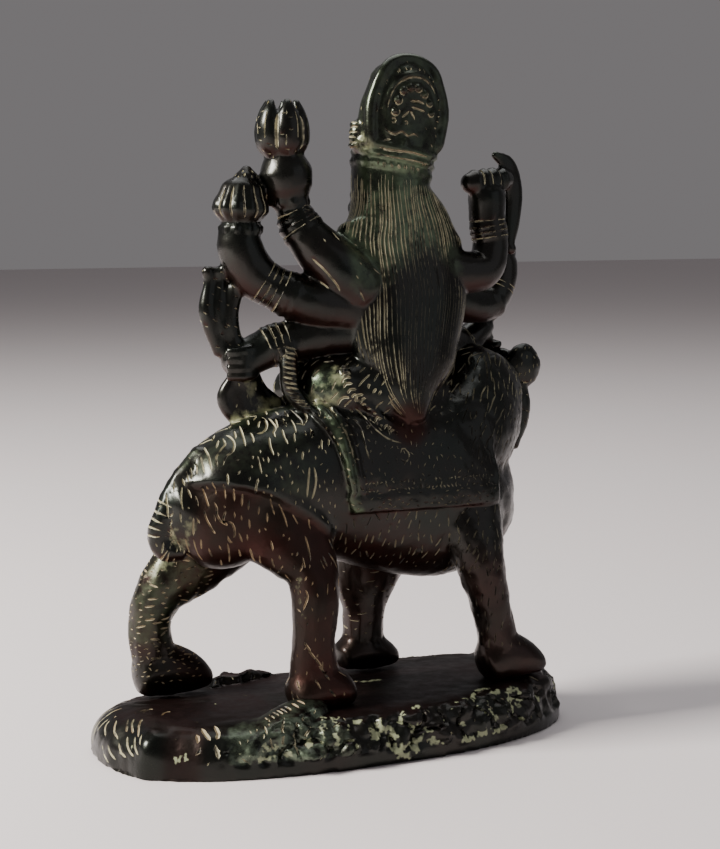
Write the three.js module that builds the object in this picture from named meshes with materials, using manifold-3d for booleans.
// A many-armed goddess seated on a walking lion, cast in one piece of brass, on a separate cast rock plinth.
//
// Millimetres, +Z up, the origin at the middle of the plinth's underside. The goddess faces -Y, the lion walks
// towards -X. The casting is a free form, so it is drawn in units: 137 of them from its soles to its crown's tip.
import * as THREE from "three";
import { mergeVertices } from "three/addons/utils/BufferGeometryUtils.js";
import Module from "manifold-3d";

const wasm = await Module();
wasm.setup();

// Driving dimensions, in mm
const FIGURE_HEIGHT = 137; // from the lion's soles to the tip of the crown
const PLINTH_HEIGHT = 10.4; // to its flat top, at the rump's end
const PLINTH_RISE = 1.5; // how much its top climbs towards the lion's head
const PLINTH_FALL = 2.2; // how much it falls towards the far side
const PLINTH_BAND = 3; // the smooth band round its foot
const PLINTH_INSET = 6.5; // how far its rounded edge stands in from its foot
const END_MARGIN = 11; // from the lion's outermost feet to the plinth's two ends
const SIDE_MARGIN = 10; // from the feet to the plinth's long sides
const ROCK_DEPTH = 1.6; // how deep the rough rock is cut
const END_SLANT = 2; // how much further the rump's end of its top stands in
const EDGE_LUMPS = 1.2; // how high the lumps on its far edge stand
const SOLE_GAP = 0.35; // the slit of light under the riveted feet
const CLOTH_THICKNESS = 1.8; // how proud the saddle cloth stands
const BORDER_THICKNESS = 0.5; // how much prouder its border is
const BORDER_WIDTH = 3.2;
const BANGLE_RISE = 0.6; // how proud a bangle stands
const BANGLE_WIDTH = 4.4; // along the arm
const HAIR_LOCKS = 17; // grooved locks round the hair
const LOCK_DEPTH = 0.5; // how deep the grooves between them are

// The lion's stance, in units, from the plinth's middle: how far its feet reach lengthwise and to the sides
const STANCE_HALF_LENGTH = 43.5;
const STANCE_HALF_WIDTH = 18.5;

const UNIT = FIGURE_HEIGHT / 137;
const PLINTH_LENGTH = 2 * (STANCE_HALF_LENGTH * UNIT + END_MARGIN);
const PLINTH_WIDTH = 2 * (STANCE_HALF_WIDTH * UNIT + SIDE_MARGIN);

// A place on the casting, given in units from the plinth's middle and top
function at(x, y, z) {
  return new THREE.Vector3(x * UNIT, y * UNIT, PLINTH_HEIGHT + z * UNIT);
}

// Working with closed solids

function weld(geometry) {
  const bare = geometry.clone();
  bare.deleteAttribute("normal");
  bare.deleteAttribute("uv");
  return mergeVertices(bare);
}

function solid(geometry) {
  return new wasm.Manifold(
    new wasm.Mesh({
      numProp: 3,
      vertProperties: geometry.attributes.position.array,
      triVerts: new Uint32Array(geometry.index.array),
    }),
  );
}

function join(solids) {
  return solids.reduce((sum, next) => sum.add(next));
}

function meshGeometry(body) {
  const { numProp, vertProperties, triVerts } = body.getMesh();
  const positions = new Float32Array((vertProperties.length / numProp) * 3);
  for (let i = 0; i < positions.length / 3; i++) {
    positions.set(vertProperties.subarray(i * numProp, i * numProp + 3), i * 3);
  }
  const geometry = new THREE.BufferGeometry();
  geometry.setAttribute("position", new THREE.BufferAttribute(positions, 3));
  geometry.setIndex(new THREE.BufferAttribute(new Uint32Array(triVerts), 1));
  geometry.computeVertexNormals();
  return geometry;
}

// The forms that everything is built from

const ACROSS_X = new THREE.Vector3(1, 0, 0);
const ACROSS_Y = new THREE.Vector3(0, 1, 0);

// The smooth way through a limb's stations [x, y, z, width, depth]: its place, its half width and its half depth
function spine(stations, across) {
  const path = new THREE.CatmullRomCurve3(stations.map(([x, y, z]) => at(x, y, z)), false, "centripetal");
  const girth = new THREE.CatmullRomCurve3(
    stations.map(([, , , width, depth = width]) => new THREE.Vector3(width * UNIT, depth * UNIT, 0)),
    false,
    "centripetal",
  );
  const place = (t) => {
    const along = path.getTangent(t);
    const side = across.clone().addScaledVector(along, -across.dot(along)).normalize();
    const { x: width, y: depth } = girth.getPoint(t);
    return { centre: path.getPoint(t), along, side, back: along.clone().cross(side), width, depth };
  };
  return { place, length: path.getLength() };
}

// The levels [share of the way, rise] along a limb, with a raised ring for each band [share of the way, rise, width]
const BAND_EDGE = 0.004; // the share of a limb that a band's edge takes

function withBands(levels, bands, limbLength) {
  return bands.reduce((all, [middle, rise, width]) => {
    const [start, end] = [middle - width / limbLength / 2, middle + width / limbLength / 2];
    const outside = all.filter(([t]) => t < start - BAND_EDGE || t > end + BAND_EDGE);
    const raised = [[start - BAND_EDGE, 0], [start, rise], [end, rise], [end + BAND_EDGE, 0]];
    return [...outside, ...raised].sort(([a], [b]) => a - b);
  }, levels);
}

// A limb through its stations, closed at each end by `capRows` rows. `relief` gives a share to add to the radius,
// by angle and way along.
function limb(
  stations,
  { sides = 8, rows = 1, capRows = 1, across = ACROSS_Y, capShare = 0.7, relief = null, bands = [] } = {},
) {
  const { place, length } = spine(stations, across);
  const steps = (stations.length - 1) * rows;
  const levels = withBands(Array.from({ length: steps + 1 }, (_, i) => [i / steps, 0]), bands, length);
  const last = levels.length - 1;
  const rings = last + 2 * capRows;
  const geometry = new THREE.SphereGeometry(1, sides, rings);
  const vertices = geometry.attributes.position;
  for (let ring = 0; ring <= rings; ring++) {
    const level = THREE.MathUtils.clamp(ring - capRows, 0, last);
    const [t, rise] = levels[level];
    const { centre, along, side, back, width, depth } = place(t);
    const past = ring - capRows - level;
    const turn = (Math.abs(past) / capRows) * (Math.PI / 2);
    const cap = Math.min(width, depth) * capShare * Math.sin(turn) * Math.sign(past);
    const shrink = Math.abs(past) === capRows ? 0 : Math.cos(turn);
    for (let column = 0; column <= sides; column++) {
      const angle = ((column % sides) / sides) * 2 * Math.PI;
      const swell = 1 + (relief ? relief(angle, t) : 0);
      const point = centre.clone().addScaledVector(along, cap);
      point.addScaledVector(side, -Math.cos(angle) * shrink * (width * swell + rise));
      point.addScaledVector(back, Math.sin(angle) * shrink * (depth * swell + rise));
      vertices.setXYZ(ring * (sides + 1) + column, point.x, point.y, point.z);
    }
  }
  return solid(weld(geometry));
}

// An egg of three half sizes, turned about X, Y and Z by degrees
function egg([x, y, z], [rx, ry, rz], { turn = [0, 0, 0], sides = 8 } = {}) {
  const geometry = weld(new THREE.SphereGeometry(1, sides, Math.max(4, sides / 2)));
  geometry.rotateX(Math.PI / 2);
  geometry.scale(rx * UNIT, ry * UNIT, rz * UNIT);
  const angles = turn.map((degrees) => THREE.MathUtils.degToRad(degrees));
  geometry.applyMatrix4(new THREE.Matrix4().makeRotationFromEuler(new THREE.Euler(...angles)));
  const centre = at(x, y, z);
  geometry.translate(centre.x, centre.y, centre.z);
  return solid(geometry);
}

// The plinth: an oval rock with a smooth band round its foot, squarer and more slanted at the rump's end

const PLINTH_SIDES = 42;
const ROUND_END = 2.25; // how square the oval is at the head's end
const SQUARE_END = 2.7; // and at the rump's end

function plinthTop(x, y) {
  const rise = PLINTH_RISE * THREE.MathUtils.clamp((-2 * x) / PLINTH_LENGTH, 0, 1);
  const fall = PLINTH_FALL * THREE.MathUtils.clamp((-2 * y) / PLINTH_WIDTH, 0, 1);
  return PLINTH_HEIGHT + rise - fall;
}

// How far the rock stands out, as a share of its depth
function rock(angle, height) {
  const coarse = Math.sin(9 * angle + 1.3) * Math.cos(4 * angle + 2 * height);
  const fine = Math.sin(23 * angle - 3 * height) * Math.cos(2.5 * height + 5 * angle);
  return -0.5 + 0.3 * coarse + 0.2 * fine;
}

// Lumps along the far edge of the top near the rump, where the angle's sine is negative and its cosine isn't
function edgeLump(angle) {
  return Math.max(0, Math.sin(13 * angle + 0.6)) * Math.max(0, -Math.sin(2 * angle)) * Math.max(0, Math.cos(angle));
}

// Each row of the profile: its share of the outline, its inset, its height as a share of the top, and how rough it is.
// Above its smooth band the side rounds over to the top.
const EDGE_ROWS = [0.35, 0.7, 0.9, 1];

function plinthProfile(slant) {
  const band = PLINTH_BAND / PLINTH_HEIGHT;
  const edge = EDGE_ROWS.map((share) => {
    const inset = (PLINTH_INSET + END_SLANT * slant) * (1 - Math.sqrt(1 - share * share));
    return [1, inset, band + (1 - band) * share, share < 1 ? 1 : 0.4];
  });
  return [[0, 0, 0, 0], [1, 0, 0, 0], [1, 0, band, 0], ...edge, [0.84, PLINTH_INSET, 1, 0], [0, PLINTH_INSET, 1, 0]];
}

function plinthBody(grow) {
  const rows = plinthProfile(0);
  const edgeRow = rows.length - 3;
  const lathe = new THREE.LatheGeometry(rows.map(([share], row) => new THREE.Vector2(share, row)), PLINTH_SIDES);
  const geometry = weld(lathe);
  const vertices = geometry.attributes.position;
  for (let i = 0; i < vertices.count; i++) {
    const row = Math.round(vertices.getY(i));
    const angle = Math.atan2(vertices.getZ(i), vertices.getX(i));
    const [share, inset, level, rough] = plinthProfile(Math.max(0, Math.cos(angle)))[row];
    const squareness = THREE.MathUtils.lerp(ROUND_END, SQUARE_END, Math.max(0, Math.cos(angle)));
    const cut = inset - grow - ROCK_DEPTH * rough * rock(angle, row);
    const oval = (value) => Math.sign(value) * Math.abs(value) ** (2 / squareness);
    const x = share * (PLINTH_LENGTH / 2 - cut) * oval(Math.cos(angle));
    const y = share * (PLINTH_WIDTH / 2 - cut) * oval(Math.sin(angle));
    const lump = row === edgeRow ? EDGE_LUMPS * edgeLump(angle) : 0;
    const z = level * (plinthTop(x, y) + lump) + (level > 0 ? grow : 0);
    vertices.setXYZ(i, x, y, z);
  }
  return solid(turnedOut(geometry));
}

// A lathe whose profile climbs has its faces inwards once its axis is upright, so they are turned out
function turnedOut(geometry) {
  const index = geometry.index.array;
  for (let i = 0; i < index.length; i += 3) {
    [index[i + 1], index[i + 2]] = [index[i + 2], index[i + 1]];
  }
  return geometry;
}

// The ridge that runs from the near hind foot down to the corner
function plinthRidge(grow) {
  const stations = [[15, 15.6, -0.4, 5, 3.4], [21, 18, -2, 5.4, 3.6], [27, 20.4, -4.4, 5, 3.4], [32, 22.4, -7, 3.6, 2.6]];
  const grown = stations.map(([x, y, z, width, depth]) => [x, y, z, width + grow / UNIT, depth + grow / UNIT]);
  return limb(grown, { sides: 8 });
}

function makePlinth() {
  return plinthBody(0).add(plinthRidge(0));
}

// The lion

const BODY_SIDES = 16;
const LION_BODY = [
  [38.6, -1, 37.6, 3, 4.6],
  [35, -0.5, 39, 8, 9.6],
  [29, 0, 40.6, 12, 12.6],
  [21.5, 0, 44.6, 13.4, 14.4],
  [12, 0, 46.4, 13.6, 15.8],
  [0, 0, 46, 13.4, 17.6],
  [-12, 0, 44.4, 13.4, 19.4],
  [-24, 0, 42.6, 13.6, 20],
  [-32.6, 0, 44, 11.6, 17.5],
  [-38.4, -1, 47, 7, 12],
];

// Each leg's stations from the hip down, and its foot's from heel to toe
const LION_LEGS = [
  {
    leg: [[16, 7, 39, 7, 10.6], [12.4, 11, 32.4, 5.8, 8], [10.8, 12.4, 28, 5.3, 5.9], [11, 12.8, 22, 5, 5.2],
      [11.6, 13, 14, 4.6, 4.6], [11.4, 13, 6, 4.8, 5.4]],
    foot: [[16, 13.4, 2.8, 4.8, 3.6], [11, 13.2, 3.8, 5.4, 5.2], [6.4, 13.2, 3, 5.2, 4.4], [3.6, 13, 1.6, 4.2, 2.6]],
  },
  {
    leg: [[20, -7, 38, 6, 12], [29.5, -10.5, 29, 5.8, 8.4], [36, -12, 22.4, 5.4, 5.8], [38.6, -13, 16, 4.8, 4.6],
      [37.8, -13, 8, 4.6, 4.7]],
    foot: [[40.4, -13, 4.4, 4.8, 5.2], [34, -13, 4.6, 5.4, 5.7], [28.6, -13, 3.2, 5.2, 4.2], [25.4, -13, 1.9, 3.8, 2.2]],
  },
  {
    leg: [[-28, 7, 41, 6.5, 9.6], [-29.2, 12, 29, 5.4, 6], [-30.9, 13, 20.8, 4.8, 4.7], [-32.9, 13, 13.6, 4.4, 4.3],
      [-34, 13, 8, 4.6, 4.4]],
    foot: [[-31, 13, 4.6, 4.8, 4.6], [-36, 13, 5.8, 5.2, 5.4], [-41, 13, 4.6, 5.2, 3.9], [-44, 13, 3.2, 4.2, 2.3]],
  },
  {
    leg: [[-19, -8, 36, 6.5, 10], [-15.4, -11.4, 27, 5.8, 9], [-14, -12.8, 20, 5, 7.6], [-13.6, -13, 13, 4.6, 4.8],
      [-13.4, -13, 6, 4.6, 4.8]],
    foot: [[-8, -13, 3, 4.6, 3.2], [-13, -13, 4, 5.2, 4.6], [-18, -13, 2.9, 5, 3.6], [-21, -13, 1.8, 4, 2]],
  },
];

const LION_TAIL = [[31, 0, 52.6, 3], [36, 0, 47.2, 2.8], [39.6, -0.5, 41, 2.5], [40.8, -1, 36.4, 2.4], [39.2, -1, 33.8, 2.8],
  [36.4, 0, 33.2, 2.4]];

function makeLeg({ leg, foot }) {
  return limb(leg).add(limb(foot, { capShare: 0.4 }));
}

function lionHead() {
  const neck = limb([[-26, 0, 50, 13, 15], [-34, -3, 57, 12, 13.4], [-39, -8, 64.2, 11.2, 12.2]], { sides: 12, capRows: 2 });
  const ears = [[-51.6, -6.5, 68.4], [-29.5, -11.5, 69.6]].map((place) => egg(place, [4.6, 2.6, 5.2]));
  const muzzle = egg([-39, -18, 58.4], [7.4, 6, 4.6], { sides: 6 });
  const nose = limb([[-39, -18, 66, 1.8], [-39, -23, 61.5, 2]], { sides: 5 });
  const jaw = egg([-39, -18.5, 53.5], [4.4, 4.4, 2.6], { sides: 6 });
  return join([neck, ...ears, muzzle, nose, jaw, ...maneLocks()]);
}

// The mane: a fluted beard below the cheeks, and the longest lock under the ear
const BEARD_LOCKS = 5;

function maneLocks() {
  const underEar = limb([[-50.6, -6.5, 64, 1.8, 2.2], [-51, -6.5, 58, 2.2, 2.6], [-48.6, -6, 50, 1.2, 1.8]], { sides: 6 });
  const flute = (angle) => 0.12 * Math.cos(2 * BEARD_LOCKS * angle);
  const beard = limb([[-39, -12, 58, 9, 4.4], [-39, -13.6, 51, 8.6, 4], [-38, -12, 43, 4.6, 2.4]], {
    sides: 4 * BEARD_LOCKS,
    across: ACROSS_X,
    relief: flute,
  });
  return [underEar, beard];
}

function makeLion() {
  const body = limb(LION_BODY, { sides: BODY_SIDES, capShare: 0.5 });
  return join([body, ...LION_LEGS.map(makeLeg), lionHead(), limb(LION_TAIL, { sides: 5 })]);
}

// The saddle cloth hangs over both flanks: the lion's body grown by the cloth, cut to the cloth's outline

const CLOTH_REAR = 11; // at its top
const CLOTH_FOOT_REAR = 2.5;
const CLOTH_FRONT = -34;
const CLOTH_FOOT = 40.5;
const CLOTH_TOP = 66;

function clothOutline() {
  const outline = new THREE.Shape();
  const corner = (x, z) => [at(x, 0, z).x, at(x, 0, z).z];
  outline.moveTo(...corner(CLOTH_FRONT, CLOTH_FOOT));
  outline.lineTo(...corner(CLOTH_FOOT_REAR, CLOTH_FOOT));
  outline.quadraticCurveTo(...corner(CLOTH_FOOT_REAR + 2, CLOTH_FOOT + 16), ...corner(CLOTH_REAR, CLOTH_TOP));
  outline.lineTo(...corner(CLOTH_FRONT, CLOTH_TOP));
  return outline;
}

// A layer of the cloth over the lion's body, from its foot up to a height
function clothLayer(thickness, top) {
  const more = thickness / UNIT;
  const grown = LION_BODY.map(([x, y, z, width, depth]) => [x, y, z, width + more, depth + more]);
  const breadth = 3 * STANCE_HALF_WIDTH * UNIT;
  const cutter = weld(
    new THREE.ExtrudeGeometry(clothOutline(), { depth: breadth, bevelEnabled: false, curveSegments: 5 }),
  );
  cutter.rotateX(Math.PI / 2);
  cutter.translate(0, breadth / 2, 0);
  const length = 3 * STANCE_HALF_LENGTH * UNIT;
  const below = weld(new THREE.BoxGeometry(length, breadth, at(0, 0, top).z));
  below.translate(0, 0, at(0, 0, top).z / 2);
  return limb(grown, { sides: BODY_SIDES, capShare: 0.5 }).intersect(solid(cutter)).intersect(solid(below));
}

function makeCloth() {
  const border = clothLayer(CLOTH_THICKNESS + BORDER_THICKNESS, CLOTH_FOOT + BORDER_WIDTH / UNIT);
  return clothLayer(CLOTH_THICKNESS, CLOTH_TOP).add(border);
}

// The goddess

const HAIR = [
  [-14.9, -2, 115.2, 9.1, 7.6],
  [-14.3, -1.5, 108.7, 8.9, 8],
  [-15, 0, 102, 12.8, 7],
  [-14.8, 1.5, 97.2, 15.2, 6.6],
  [-15.6, 3, 87, 14.9, 7],
  [-14.6, 4.5, 78.4, 13.5, 7],
  [-14, 6, 71.8, 11.9, 6.4],
  [-13.4, 8, 65.6, 8, 5],
  [-14, 10.4, 59.6, 2.8, 2.6],
];

function makeHair() {
  const groove = (angle, t) => -(LOCK_DEPTH / (12 * UNIT)) * (Math.cos(HAIR_LOCKS * angle) < 0 ? 1 : 0) * (t > 0.05 ? 1 : 0);
  return limb(HAIR, { sides: 2 * HAIR_LOCKS, across: ACROSS_X, capShare: 0.5, relief: groove });
}

function makeHead() {
  const face = egg([-15, -5, 110], [7.4, 8, 9.2], { sides: 10 });
  const nose = limb([[-15, -12.4, 112, 0.8], [-15, -13.4, 108.6, 1.3]], { sides: 5 });
  const earrings = [-1, 1].map((side) => egg([-15 + side * 8, -4, 104.8], [1.8, 1.8, 2], { sides: 6 }));
  const neck = limb([[-14.6, -3, 104, 4.4], [-14, -2, 97, 5]], { sides: 6 });
  return join([face, nose, ...earrings, neck]);
}

function makeTorso() {
  const trunk = limb(
    [[-13, -1, 60, 17, 11], [-13, -2, 69, 14, 9], [-13, -2.5, 77, 9, 7], [-13.6, -2.5, 87, 11.8, 7.4],
      [-14, -2, 95, 12, 6.4]],
    { sides: 10, across: ACROSS_X, capShare: 0.5 },
  );
  const breasts = [-19, -8.5].map((x) => egg([x, -8.4, 88], [4.4, 4, 4.2]));
  const garland = limb([[-21, -8, 94, 1.2], [-18, -11.6, 85.6, 1.2], [-13.8, -10.6, 82.6, 1.3], [-9.6, -11.6, 85.6, 1.2],
    [-6.6, -8, 94, 1.2]], { sides: 4 });
  return join([trunk, ...breasts, garland]);
}

// Her left leg is folded on the lion's back, and her right one hangs down the far flank to a lotus. The skirt's hem
// is a raised roll over the left hip.
const HIP_HEM = [[1.8, 8.2, 71.4, 1], [0.6, 9.4, 66.2, 1.1], [-4.4, 10.4, 61.6, 1.1], [-10.6, 11.2, 56.2, 1]];
const LEFT_THIGH = [[-8, 2.5, 65, 9, 8.5], [0.6, 0.4, 66, 8.8, 7.6], [6.4, -4, 66.5, 5.8, 6]];

function makeLegs() {
  const leftThigh = limb(LEFT_THIGH, { sides: 10, capRows: 2 });
  const leftShin = limb([[6, -8, 65.5, 5], [-2, -14, 64, 4.2], [-12, -17.5, 64.5, 3.3]], { sides: 6 });
  const leftFoot = egg([-16, -19, 64.5], [5.2, 3, 2.4]);
  const rightThigh = limb([[-18, -3, 64, 8], [-20, -13, 63.5, 6.6]], { capRows: 2 });
  const rightShin = limb([[-20.5, -15, 62.5, 5.6], [-20.5, -17.6, 52, 4.4], [-20.5, -17.6, 41, 3.2]], { sides: 6 });
  const rightFoot = egg([-20.5, -20.4, 38.4], [3, 5.6, 2.3]);
  const lotus = limb([[-20.5, -17.4, 37, 5.6], [-20.5, -17, 33, 3.4], [-20.5, -12, 30, 2]], { sides: 6, across: ACROSS_X });
  return join([leftThigh, leftShin, leftFoot, rightThigh, rightShin, rightFoot, lotus, limb(HIP_HEM, { sides: 4 })]);
}

// The crown: a tall rounded cap, flat behind, with a rim, an arch of beads and a band

const CROWN = [
  [-14.6, -0.4, 115.6, 8.8, 6.8],
  [-15.6, 0, 120.4, 10.1, 6.2],
  [-16.8, 0.4, 126, 10.4, 5.6],
  [-17, 0.6, 131.8, 8.7, 4.8],
];
const BROW_RISE = 0.7; // the band at the crown's foot
const BROW_WIDTH = 1.8;
const CROWN_MIDDLE = new THREE.Vector3(-16.4, 5.6, 125.4);
const CROWN_BEADS = 7;
const BEAD_ARCH = 5;

function makeCrown() {
  const bands = [[0.12, BROW_RISE, BROW_WIDTH]];
  const cap = limb(CROWN, { sides: 12, capRows: 2, capShare: 1.14, across: ACROSS_X, bands });
  const beads = Array.from({ length: CROWN_BEADS }, (_, i) => {
    const turn = ((i + 0.5) / CROWN_BEADS) * Math.PI;
    const { x, y, z } = CROWN_MIDDLE;
    return egg([x + BEAD_ARCH * Math.cos(turn), y, z + BEAD_ARCH * Math.sin(turn)], [1, 1, 1], { sides: 4 });
  });
  const peak = limb([[-15.4, -6, 116, 5, 3], [-16, -4.6, 126, 3.8, 2.4], [-16.6, -2.6, 134, 1.6, 1.6]], {
    across: ACROSS_X,
    sides: 6,
  });
  const flowers = [-7.8, -23.4].map((x) => limb([[x, -3.4, 116, 2], [x, -3.4, 121, 1.7]], { sides: 6 }));
  return join([cap, ...beads, peak, ...flowers]);
}

// The arms: three on each side behind, and one pair in front

const ARMS = {
  leftHigh: [[-4, 3, 88, 6.4], [0.4, 3, 91.8, 6], [5, 1.4, 96.4, 5.3], [8, -0.6, 101, 4.3], [9.6, -1.6, 105, 3.5]],
  leftMiddle: [[-4, 2, 83, 5.6], [7, 1.4, 85, 5], [13, -0.6, 87.4, 4.6], [18.4, -2.4, 91.2, 5],
    [21, -3, 97, 4.9], [20.8, -3, 101, 3.9]],
  leftLow: [[-4, 0, 78, 5.4], [1, 0, 78, 5.2], [8, -1, 77, 4.6], [15, -2.4, 75, 4.3], [20.8, -3.8, 72, 4.6, 4]],
  rightHigh: [[-22, 2, 92, 5.4], [-30, 3, 90.6, 4.8], [-35.4, 3, 91.4, 4.4], [-37.4, 2.4, 96, 4],
    [-36.8, 2, 102, 4], [-36.6, 2, 107.5, 4.2]],
  rightMiddle: [[-22, -2, 90, 4.8], [-33, -4, 84, 4.6], [-42, -6, 83.4, 4], [-45.4, -6.6, 88, 3.8],
    [-46.4, -7, 92.4, 3.4]],
  rightLow: [[-20, -4, 84, 5.4], [-29, -7, 76, 5], [-36, -9, 73.6, 4.4], [-42.4, -10, 77, 3]],
  leftFront: [[-5, -4, 90, 4], [1, -9, 82, 3.6], [3, -14, 76.6, 3.1], [0, -17.5, 74, 2.6]],
  rightFront: [[-22, -4, 90, 4], [-29, -10, 82, 3.6], [-29, -17, 86, 3], [-27.6, -19, 92, 2.6]],
};
const LEAN_ARMS = ["rightMiddle", "rightLow", "leftFront", "rightFront"]; // the ones in front, which are finished plainer
const BANGLED = { leftHigh: 0.83, leftMiddle: 0.45, leftLow: 0.68, rightHigh: 0.76 }; // where each bangle is

function makeArms() {
  return join(
    Object.entries(ARMS).map(([name, stations]) => {
      const bands = name in BANGLED ? [[BANGLED[name], BANGLE_RISE, BANGLE_WIDTH]] : [];
      return limb(stations, { sides: LEAN_ARMS.includes(name) ? 6 : 8, bands });
    }),
  );
}

// The upper left hand holds a bud of five petals
const PETALS = 5;

function makeBud() {
  const hand = limb([[9.8, -1.6, 106, 4], [10.4, -2, 110, 5.5], [10.9, -2, 114, 4.6]], { capRows: 2 });
  const petals = Array.from({ length: PETALS }, (_, i) => {
    const turn = ((i + 0.25) / PETALS) * 2 * Math.PI;
    const out = new THREE.Vector3(Math.cos(turn), Math.sin(turn), 0);
    const station = (reach, z, width, depth) => [11.6 + out.x * reach, -2 + out.y * reach, z, width, depth];
    return limb([station(2.2, 114, 2, 1), station(4.6, 118.5, 3, 1.1), station(4.4, 123, 2.4, 1), station(3.2, 127, 0.7, 0.5)], {
      sides: 6,
      across: new THREE.Vector3(-out.y, out.x, 0),
    });
  });
  const heart = egg([11.6, -2, 117.5], [4, 4, 5], { sides: 6 });
  return join([hand, heart, ...petals]);
}

// The middle left hand holds a mace: a ribbed head with a knob, over a notched collar
const MACE_RIBS = 8;

function makeMace() {
  const rib = (angle) => 0.05 * Math.cos(MACE_RIBS * angle);
  const head = limb([[20.8, -3, 101.6, 3.8], [20.7, -3, 104.6, 5.9], [20.4, -3, 108.2, 4.6]], {
    sides: 2 * MACE_RIBS,
    relief: rib,
  });
  const collar = limb([[20.8, -3, 99.8, 4.5], [20.8, -3, 101, 4.6]], { capShare: 0.1 });
  const knob = egg([19.4, -3, 111.2], [2.6, 2.6, 1.7]);
  const tip = egg([19.3, -3, 112.8], [1.3, 1.3, 1], { sides: 4 });
  return join([head, collar, knob, tip]);
}

// The low left hand holds a bow: three ridges above the fist, two with round tips, and below it a limb with a web
// of metal that runs into the lion's back
function makeBow() {
  const ridges = [
    [[27.5, -5, 91.4, 1.4], [27.2, -5, 89.2, 1.2], [27.8, -5, 83, 1.8], [25, -4.6, 74.5, 1.7]],
    [[24.8, -4.4, 91.2, 1.3], [24.8, -4.4, 89.2, 1.1], [25.4, -4.4, 83, 1.8], [23.6, -4.4, 75, 1.7]],
    [[21.8, -3.6, 88, 1.8], [23, -4, 81.5, 1.9], [21.8, -4, 75.4, 1.9]],
  ].map((stations) => limb(stations, { sides: 6 }));
  const lowerLimb = limb([[22, -4.4, 69, 1.3], [24, -5, 64.5, 1.6], [22, -4.6, 60.6, 1.6], [16, -4, 58.4, 1.4]], {
    sides: 6,
  });
  const web = limb([[20, -4, 70, 3.4, 1.1], [18.6, -4, 64.5, 5, 1.1], [15, -3.6, 58.5, 7, 1.4]], { sides: 6, across: ACROSS_X });
  const fist = egg([21, -3.6, 72.4], [4.6, 4.2, 3.8], { sides: 6 });
  return join([fist, ...ridges, lowerLimb, web]);
}

// The high right fist holds a sabre, whose curved blade reaches down behind the forearm
const FINGERS = 4;

function makeSabre() {
  const knuckles = (angle, t) => -0.12 * Math.cos(2 * Math.PI * FINGERS * t);
  const fist = limb([[-32, 2.2, 110.2, 2.6], [-37, 1.8, 110.6, 2.8], [-42, 1.2, 111.2, 2.4]], {
    sides: 6,
    rows: FINGERS,
    relief: knuckles,
  });
  const blade = limb(
    [[-39.4, 0.4, 116.6, 0.7, 0.9], [-43, 0.2, 114.4, 0.9, 2], [-44.8, 0, 109, 0.9, 2.3], [-44.6, 0, 102, 0.9, 2],
      [-43.6, 0, 96, 0.8, 1.3]],
    { sides: 6 },
  );
  const pommel = egg([-44.2, 0, 95.6], [1.3, 1.3, 1.4], { sides: 5 });
  return join([fist, blade, pommel]);
}

// The other hands: a ball held low on the right, an open palm raised in front, and a hand at rest on the knee
function makeHands() {
  const ball = egg([-44.6, -10.4, 81.4], [3, 3, 2.8]);
  const smallBall = egg([-43.4, -10, 77.4], [2.2, 2.2, 2.4], { sides: 5 });
  const fistBehind = egg([-46.6, -7.4, 94.6], [3, 3, 3.2], { sides: 6 });
  const openPalm = limb([[-25.6, -19.6, 93, 2.6, 1.4], [-25.6, -20, 97, 3, 1.3], [-25.6, -20, 101.4, 2, 1]], {
    across: ACROSS_X,
    sides: 6,
  });
  const restingHand = egg([-0.4, -18, 73.4], [3.4, 2.4, 1.8], { sides: 6 });
  const stem = limb([[-0.4, -18, 74, 1.2], [-0.4, -18.6, 80, 1.1]], { sides: 5 });
  const flower = egg([-0.4, -18.6, 82], [2.4, 2.4, 2.8], { sides: 6 });
  return join([ball, smallBall, fistBehind, openPalm, restingHand, stem, flower]);
}

function makeFigure() {
  const figure = join([
    makeLion(),
    makeCloth(),
    makeTorso(),
    makeLegs(),
    makeHair(),
    makeHead(),
    makeCrown(),
    makeArms(),
    makeBud(),
    makeMace(),
    makeBow(),
    makeSabre(),
    makeHands(),
  ]);
  return figure.subtract(plinthBody(SOLE_GAP)).subtract(plinthRidge(SOLE_GAP));
}

// The finished part

const darkBrass = new THREE.MeshStandardMaterial({ color: 0x3b372c, roughness: 0.42, metalness: 0.9 });
const dirtyBrass = new THREE.MeshStandardMaterial({ color: 0x4a4234, roughness: 0.6, metalness: 0.8 });

function piece(name, body, material) {
  const mesh = new THREE.Mesh(meshGeometry(body), material);
  mesh.name = name;
  return mesh;
}

const durga = new THREE.Group();
durga.add(piece("durga_on_lion", makeFigure(), darkBrass));
durga.add(piece("rock_plinth", makePlinth(), dirtyBrass));

export default durga;
